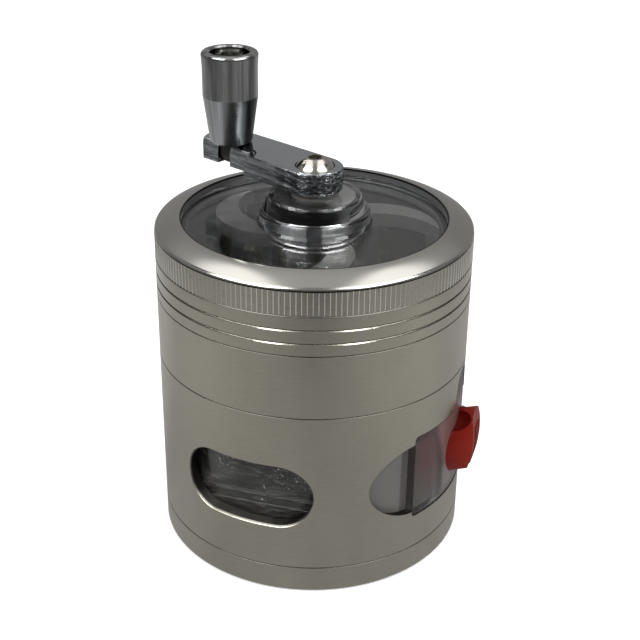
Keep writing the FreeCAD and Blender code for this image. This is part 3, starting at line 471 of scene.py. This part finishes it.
def drawer_plastic(name, dark, light, through, rough_low, foot=0.0):
    """Drawer moulding, slightly smoky, with a painted pink reflection of the red pull round it and painted
    milky highlight streaks beside it. Its sides carry painted shade where it enters the wall, and its foot a
    painted shadow line."""
    f = Finish(name)
    x, y, z = f.place
    aside = y.size()
    cloud = f.noise(f.point, 0.16)
    mottle = f.noise(f.vector(x, y, z * 0.6), 0.35, detail=2.0).over(0.35, 0.65)
    above = z - PULL_MIDDLE
    wide, tall = 260.0, 120.0
    away = (y * y / wide + above * above / tall).root()
    near_pull = away.under(0.6, 1.5) * x.over(22.0, 27.0) * z.under(32.0, 36.0)
    # Painted reflection: the red pull's pink seen in the clear moulding round it.
    painted_pull_reflection = [tone * share for tone, share in zip(light, (0.85, 0.42, 0.41))]
    colour = f.blend(near_pull * (0.6 + 0.4 * mottle), f.blend(cloud, dark, light), painted_pull_reflection)
    # Painted shade on the sides where the moulding enters the wall.
    colour = f.blend(aside.over(*DRAWER_FLANK) * 0.9, colour, (0.05, 0.048, 0.046))
    colour = f.blend(aside.over(*DRAWER_EDGE) * 0.9, colour, (0.2, 0.195, 0.183))
    # Painted shadow line along the foot.
    colour = f.blend(z.under(foot + 0.25, foot + 0.5), colour, (0.01, 0.01, 0.01))
    rough = rough_low + cloud * 0.08 + aside.under(9.0, 13.0) * 0.35
    body = f.clear(colour, rough, f.bump(cloud, 0.02, 0.2), through)
    # Painted highlight: a milky, pinkish band of light beside the pull.
    pink = f.blend(z.over(18.0, 26.0), (0.16, 0.135, 0.13), (0.16, 0.085, 0.08))
    milky_highlight = f.surface(Base_Color=pink, Roughness=0.3)
    spread = (z - 22.0).most(0.0) * 0.3
    highlight_streak = (aside - spread).under(7.2, 9.8) * x.over(28.0, 29.0) * z.between(12.5, 16.0, 30.0, 36.0)
    return f.finish_clear(f.mix(highlight_streak * 0.75, body, milky_highlight), (0.7, 0.69, 0.68))


def red_moulding(name):
    """Solid red plastic with soft gloss, faint flow marks and a little wear; painted lighter at its front,
    with painted shade at its back and down in its scoop.
    """
    f = Finish(name)
    x, y, z = f.place
    flow = f.noise(f.vector(x * 0.5, y * 0.5, z * 0.16))
    grain = f.noise(f.point, 3.4, detail=2.0)
    scuff = f.noise(f.vector(x * 0.7, y * 2.4, z * 0.5)).over(0.58, 0.74)
    # Painted light and shade: lighter towards the front, darker at the back.
    forward = flow * 0.4 + x.over(*PULL_FRONT) * 0.6
    colour = f.blend(forward, (0.094, 0.0028, 0.0014), (0.195, 0.0125, 0.0055))
    colour = f.blend(scuff * 0.2, colour, (0.24, 0.02, 0.013))
    out, aside, up = x - PULL_SCOOP[0], y.size() - PULL_SCOOP[1], z - PULL_SCOOP[2]
    # Painted shade down in the scoop.
    scoop_shade = (out * out + aside * aside + up * up).root().under(3.62, 3.8)
    colour = f.blend(scoop_shade * 0.6, colour, (0.05, 0.001, 0.001))
    rough = 0.3 + grain * 0.1 + scuff * 0.1
    normal = f.bump(grain * 0.6 + flow * 0.4, 0.02, 0.25)
    return f.finish(f.surface(Base_Color=colour, Roughness=rough, Normal=normal, Specular_IOR_Level=0.1))


def dull_polymer(name, dark, light):
    """Plain moulded or turned polymer with a fine even grain."""
    f = Finish(name)
    x, y, z = f.place
    grain = f.noise(f.vector(x, y, z * 2.5), 2.6)
    colour = f.blend(grain, dark, light)
    normal = f.bump(grain, 0.02, 0.3)
    return f.finish(f.surface(Base_Color=colour, Roughness=0.42 + grain * 0.14, Normal=normal))


def turned_core(name):
    """Black polymer core, painted greyer as light at its right; its top is faced, grey with fine rings, and
    painted lighter at its left against the arm's shadow.
    """
    f = Finish(name)
    x, y, z = f.place
    radius = from_axis(x, y)
    right = rightward(x, y) / radius.most(0.5)
    grain = f.noise(f.vector(x, y, z * 2.5), 2.6)
    rings = f.noise(f.vector(radius * 3.0, 0.0, 0.0), detail=2.0).over(0.3, 0.7)
    side = f.blend(grain, (0.003, 0.003, 0.0032), (0.006, 0.006, 0.0063))
    # Painted light: the side is greyer towards the right.
    side = f.blend(right.over(0.3, 0.75), side, (0.12, 0.12, 0.116))
    # Painted light: the top is lighter at its left, against the arm's shadow.
    top = f.blend(right.over(-0.7, 0.1), (0.42, 0.415, 0.395), (0.21, 0.207, 0.197))
    top = f.blend(rings * 0.4, top, (0.1, 0.099, 0.094))
    top = f.blend(radius.under(*CORE_NECK), top, (0.085, 0.083, 0.079))
    colour = f.blend(z.over(*CORE_TOP), side, top)
    rough = 0.4 + grain * 0.14
    normal = f.bump(grain, 0.02, 0.3)
    return f.finish(f.surface(Base_Color=colour, Roughness=rough, Normal=normal, Specular_IOR_Level=0.1))


def woven_wire(name):
    """Fine square weave, as bright wires over dark gaps."""
    f = Finish(name)
    x, y = f.place[:2]
    warp = (x * 14.0).wave().size()
    weft = (y * 14.0).wave().size()
    wires = warp.most(weft).over(0.45, 0.8)
    wire = f.blend(f.noise(f.point, 0.3, detail=2.0), (0.36, 0.355, 0.34), (0.5, 0.495, 0.475))
    colour = f.blend(wires, (0.05, 0.05, 0.048), wire)
    return f.finish_metal(colour, 0.38, f.bump(wires, 0.06, 0.5))


def put_in_scene(name, data):
    thing = bpy.data.objects.new(name, data)
    bpy.context.scene.collection.objects.link(thing)
    return thing


def knurl_ribs(material, count, radius, rib_radius, low, high):
    """Straight knurl: slim diamond ribs set upright round the lid's band."""
    group = bpy.data.node_groups.new("knurl", "GeometryNodeTree")
    face = group.interface
    face.new_socket("Geometry", in_out="OUTPUT", socket_type="NodeSocketGeometry")
    sizes = {"Count": count, "Ring Radius": radius, "Rib Radius": rib_radius, "Low": low, "High": high}
    keys = {}
    for name in sizes:
        kind = "NodeSocketInt" if name == "Count" else "NodeSocketFloat"
        keys[name] = face.new_socket(name, in_out="INPUT", socket_type=kind).identifier
    g = Tree(group)
    given = {name: g.add("NodeGroupInput", output=name) for name in sizes}
    bottom, top = given["Low"], given["High"]
    ring = g.add("GeometryNodeMeshCircle", None, {"Vertices": given["Count"], "Radius": given["Ring Radius"]})
    rise = g.vector(0.0, 0.0, (top + bottom) * 0.5)
    lifted = g.add("GeometryNodeSetPosition", None, {"Geometry": ring, "Offset": rise})
    rib = g.add("GeometryNodeMeshCylinder", None, {
        "Vertices": 4, "Radius": given["Rib Radius"], "Depth": top - bottom,
    })
    spot = g.add("GeometryNodeInputPosition")
    aim = g.add("FunctionNodeAlignRotationToVector", {"axis": "X", "pivot_axis": "Z"}, {"Vector": spot})
    ribs = g.add("GeometryNodeInstanceOnPoints", None, {"Points": lifted, "Instance": rib, "Rotation": aim})
    solid = g.add("GeometryNodeRealizeInstances", None, {"Geometry": ribs})
    plated = g.add("GeometryNodeSetMaterial", None, {"Geometry": solid, "Material": material})
    g.add("NodeGroupOutput", None, {0: plated})
    seed = put_in_scene("knurl_seed", bpy.data.meshes.new("knurl_seed"))
    maker = seed.modifiers.new("knurl", "NODES")
    maker.node_group = group
    for name, size in sizes.items():
        maker[keys[name]] = size
    seen = seed.evaluated_get(bpy.context.evaluated_depsgraph_get())
    mesh = bpy.data.meshes.new_from_object(seen)
    bpy.data.objects.remove(seed)
    return put_in_scene("knurl_ribs", mesh)


def arc(middle, radius, start, end, steps):
    """Points of (radius, height) along an arc, between two tilts from upright in degrees."""
    tilts = [math.radians(start + (end - start) * step / steps) for step in range(steps + 1)]
    return [(middle[0] + radius * math.sin(tilt), middle[1] + radius * math.cos(tilt)) for tilt in tilts]


def after_arc(point, radius, tilt):
    """Middle of an arc that leaves a point at a tilt from upright in degrees."""
    tilt = math.radians(tilt)
    return point[0] - radius * math.sin(tilt), point[1] - radius * math.cos(tilt)


def lid_outline(body, seam):
    """The lid ring's section: skirt, grooves with lips bevelled by wear, knurl band, and a rim that is
    highest at its inner edge and rolls over at the outer one. All in millimetres, from the body's radius and
    the height of the lid's seam."""
    skirt, glide, bore = body - 3.5, body - 4.1, body - 4.9
    foot, slot_low, slot_high = seam - SKIRT_DEPTH, seam - 2.2, seam - 0.7
    broken_edge = 0.06
    groove_middles = (seam + 2.54, seam + 5.26)
    groove_half, groove_floor = 0.14, body - 0.25
    lip_height, lip_radius = 0.18, body - 0.145
    wall_top = seam + 7.85
    band, band_low, band_high = body - 0.12, seam + 8.0, seam + 12.75
    neck, lip = body - 0.5, body - 0.08
    neck_top, rim_foot, top = seam + 13.05, seam + 13.15, seam + 15.12
    roll_radius, crown_radius = 1.18, 14.1
    roll_start, roll_end, crown_end = 65.0, 27.0, 7.4
    seat, shelf = body - 5.24, body - 6.1
    disc = top - 4.87
    ledge = disc - 1.4
    outline = [
        (bore, foot), (skirt, foot), (skirt, slot_low), (glide, slot_low), (glide, slot_high),
        (skirt, slot_high), (skirt, seam), (body - broken_edge, seam), (body, seam + broken_edge),
    ]
    for middle in groove_middles:
        low, high = middle - groove_half, middle + groove_half
        outline += [
            (body, low - lip_height), (lip_radius, low), (groove_floor, low), (groove_floor, high),
            (body, high),
        ]
    outline += [
        (body, wall_top), (band, band_low), (band, band_high), (neck, band_high), (neck, neck_top),
        (lip, neck_top),
    ]
    middle = after_arc((lip, rim_foot), roll_radius, roll_start)
    roll = arc(middle, roll_radius, roll_start, roll_end, 10)
    middle = after_arc(roll[-1], crown_radius, roll_end)
    crown = arc(middle, crown_radius, roll_end, crown_end, 14)
    outline += roll + crown[1:]
    outline += [(seat, top - 0.05), (seat, disc), (shelf, disc), (shelf, ledge), (bore, ledge)]
    return outline


def turned_ring(name, outline, material, steps=288, crease=28.0):
    """Closed ring turned about the upright axis from a section in millimetres, with edges kept sharp
    past a crease in degrees."""
    turns = [math.tau * step / steps for step in range(steps)]
    points = [(radius * math.cos(turn) * MM, radius * math.sin(turn) * MM, height * MM)
              for turn in turns for radius, height in outline]
    count = len(outline)
    faces = []
    for step in range(steps):
        here, there = step * count, (step + 1) % steps * count
        for low in range(count):
            high = (low + 1) % count
            faces.append((here + low, there + low, there + high, here + high))
    mesh = bpy.data.meshes.new(name)
    mesh.from_pydata(points, [], faces)
    mesh.shade_smooth()
    mesh.set_sharp_from_angle(angle=math.radians(crease))
    mesh.materials.append(material)
    return put_in_scene(name, mesh)


def place_camera():
    """The photograph's view: above the rim, with the drawer at the right."""
    pitch, yaw, roll = (math.radians(angle) for angle in (26.96, 0.333, -0.738))
    forward = Vector((math.sin(yaw) * math.cos(pitch), math.cos(yaw) * math.cos(pitch), -math.sin(pitch)))
    level = forward.cross(Vector((0, 0, 1))).normalized()
    plumb = forward.cross(level)
    right = math.cos(roll) * level + math.sin(roll) * plumb
    down = math.cos(roll) * plumb - math.sin(roll) * level
    turn = Matrix.Rotation(VIEW_TURN, 3, "Z")
    stance = Matrix([turn @ axis for axis in (right, -down, -forward)]).transposed().to_4x4()
    stance.translation = Vector((0.067777, -0.221686, 0.162577))
    lens = bpy.data.cameras.new("camera")
    lens.lens = 71.295
    lens.sensor_width = 36.0
    lens.clip_start = 0.01
    camera = put_in_scene("camera", lens)
    camera.matrix_world = stance
    bpy.context.scene.camera = camera


def lay_sheet(radius=0.55, count=96):
    """Round pale sheet under the object. Reflections see it greyer, as in a studio with dark walls, and
    brighter in bands towards the sides."""
    turns = [math.tau * step / count for step in range(count)]
    rim = [(radius * math.cos(turn), radius * math.sin(turn), 0.0) for turn in turns]
    mesh = bpy.data.meshes.new("sheet")
    mesh.from_pydata(rim, [], [tuple(range(count))])
    sheet = put_in_scene("sheet", mesh)
    f = Finish("pale_sheet")
    x, y = f.place[:2]
    colour = f.blend(f.noise(f.point, 0.02), (0.8, 0.8, 0.795), (0.83, 0.83, 0.825))
    paper = f.add("ShaderNodeBsdfDiffuse", None, {"Color": colour})
    seen = f.light_path("Is Camera Ray")
    glow = f.add("ShaderNodeEmission", None, {"Color": WHITE, "Strength": seen * 0.42})
    lit = f.add("ShaderNodeAddShader", None, {0: paper, 1: glow})
    far = from_axis(x, y)
    right = rightward(x, y) / far
    behind = backward(x, y) / far
    aside = right.size()
    bands = f.noise(f.vector(x / far, y / far, 0.0), 4.0, detail=1.0)
    near = far.under(138.0, 180.0)
    level = 0.07 + near * 0.29 + bands * 0.12
    level = level * (1 + right * right * (0.1 + far.over(50.0, 130.0) * 0.55))
    flank = far.over(134.0, 144.0) * aside.over(0.1, 0.45) * (1 - aside.over(0.55, 0.9) * 0.75)
    lifted = far.over(128.0, 137.0) * right.over(0.8, 0.9) * behind.under(-0.2, 0.0) * 0.3
    level = level * (1 + flank * 0.9 + lifted)
    level = level * (1 - aside.over(0.6, 0.95) * behind.over(-0.2, 0.2) * 0.13)
    level = level + behind.over(0.2, 0.6) * (0.17 - right.over(0.3, 0.7) * 0.1)
    dimmed = f.add("ShaderNodeEmission", None, {"Color": WHITE, "Strength": level})
    mesh.materials.append(f.finish(f.mix(f.light_path("Is Glossy Ray"), lit, dimmed)))


def light_surroundings():
    """White surroundings. Reflections see them greyer, with two bright strips overhead and a dark gap
    beside them."""
    world = bpy.data.worlds.new("studio")
    world.use_nodes = True
    bpy.context.scene.world = world
    w = Tree(world.node_tree)
    across, along, up = w.split(w.add("ShaderNodeTexCoord", output="Generated"))
    behind = backward(across, along) / from_axis(across, along).most(0.001)
    aside = rightward(across, along).size()
    camera = w.light_path("Is Camera Ray")
    mirror = w.light_path("Is Glossy Ray").most(w.light_path("Is Transmission Ray"))
    strips = aside.between(0.14, 0.24, 0.55, 0.68) * up.over(0.66, 0.8)
    gap = aside.between(0.62, 0.68, 0.76, 0.82) * up.between(0.5, 0.56, 0.7, 0.76)
    sky = 0.16 + up.over(0.15, 0.95) * 0.42
    sky = sky * (1 - behind.under(-0.97, -0.75) * 0.42) + strips * 1.25
    sky = sky * (1 - gap * 0.85)
    sky = sky.most(behind.over(0.2, 0.6) * 0.29)
    level = camera.most(mirror * sky).most((1 - mirror.most(camera)) * 0.5)
    back = w.add("ShaderNodeBackground", None, {"Color": WHITE, "Strength": level})
    w.add("ShaderNodeOutputWorld", None, {"Surface": back})


def softbox(name, where, aim, width, height, power):
    lamp = bpy.data.lights.new(name, "AREA")
    lamp.shape = "RECTANGLE"
    lamp.size = width
    lamp.size_y = height
    lamp.energy = power
    stand = put_in_scene(name, lamp)
    stand.location = where
    stand.rotation_euler = (Vector(aim) - Vector(where)).to_track_quat("-Z", "Y").to_euler()
    return stand


def set_lamps(reach=0.42, lift=0.5):
    """Soft light from both sides of the front, and a little from above that no reflection shows."""
    for name, turn in (("front_left", -56.0), ("front_right", 56.0)):
        angle = VIEW_TURN - math.pi / 2 + math.radians(turn)
        where = (reach * math.cos(angle), reach * math.sin(angle), lift)
        softbox(name, where, aim=(0, 0, 0.06), width=0.46, height=0.26, power=2.5)
    above = (0.0, 0.15, 0.7)
    overhead = softbox("overhead", above, aim=(0, 0, 0.05), width=0.5, height=0.3, power=0.5)
    overhead.visible_glossy = False


nickel = satin_nickel("satin_nickel")
rim_nickel = satin_nickel("satin_nickel_rim", rim=True)
rib_nickel = bare_steel("rib_nickel", (0.66, 0.645, 0.6), (0.76, 0.745, 0.7))
steel = bare_steel("bare_steel", (0.52, 0.5, 0.46), (0.66, 0.64, 0.59))
magnet = bare_steel("magnet_plate", (0.5, 0.5, 0.51), (0.62, 0.62, 0.63), rough_low=0.1)
arm_lay = math.radians(155.0)
drawer_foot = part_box("drawer_front")[0][2] / MM

FINISHES = {
    "base_cap": nickel,
    "storage_chamber": nickel,
    "grinding_chamber": nickel,
    "chamber_collar": nickel,
    "lid_ring": rim_nickel,
    "rotor": dusted_zinc("rotor_zinc"),
    "guide_sleeve": liner_plastic("liner_plastic"),
    "drawer_tray": drawer_plastic(
        "frosted_drawer", (0.34, 0.332, 0.312), (0.44, 0.43, 0.405), through=0.45, rough_low=0.28,
    ),
    "drawer_front": drawer_plastic(
        "clear_drawer", (0.4, 0.383, 0.376), (0.54, 0.522, 0.513), through=1.0, rough_low=0.1,
        foot=drawer_foot,
    ),
    "lid_window": clear_acrylic("lid_acrylic"),
    "drawer_pull": red_moulding("red_moulding"),
    "sieve_screen": woven_wire("woven_wire"),
    "sieve_ring": dull_polymer("dark_acetal", (0.006, 0.006, 0.0065), (0.014, 0.014, 0.0145)),
    "shaft_bush": turned_core("turned_core"),
    # Painted highlights: two bright patches on the boss ring's front.
    "boss_ring": bare_steel("ring_steel", (0.32, 0.325, 0.34), WHITE, rough_low=0.2, highlight_patches=True),
    "glide_ring": dull_polymer("natural_nylon", (0.62, 0.6, 0.55), (0.74, 0.725, 0.68)),
    "crank_arm": bright_chrome(
        "cast_chrome", (0.46, 0.485, 0.505), (0.56, 0.59, 0.61), ripple=0.34, lay=arm_lay, flat=ARM_FLAT,
    ),
    "crank_knob": drawn_chrome("drawn_chrome"),
    # Painted shade: the tang is near-black steel for the shade it sits in between the knob's ears.
    "knob_spindle": bare_steel("tang_steel_painted_shade", (0.03, 0.028, 0.024), (0.1, 0.094, 0.082), rough_low=0.2),
    "crank_shaft": steel,
    "arm_washer": bright_chrome("bright_chrome", (0.44, 0.455, 0.46), (0.52, 0.535, 0.54), ripple=0.012),
    "arm_screw": bare_steel("screw_steel", (0.46, 0.435, 0.39), (0.58, 0.555, 0.5), rough_low=0.05),
    "fold_pin": steel,
    "knob_screw": steel,
    "rotor_magnet": magnet,
    "chamber_magnet": magnet,
}
for node, finish in FINISHES.items():
    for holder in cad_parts[node].material_slots:
        holder.material = finish

ring_low, ring_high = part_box("lid_ring")
section = lid_outline(ring_high[0] / MM, ring_low[2] / MM + SKIRT_DEPTH)
crowned = turned_ring("crowned_lid_ring", section, rim_nickel)
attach(crowned, "lid")
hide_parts("lid_ring")

ribs = knurl_ribs(rib_nickel, RIB_COUNT, RIB_RING * MM, RIB_RADIUS * MM, RIB_LOW * MM, RIB_HIGH * MM)
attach(ribs, "lid")

place_camera()
lay_sheet()
light_surroundings()
set_lamps()
bpy.context.scene.view_settings.view_transform = "Standard"
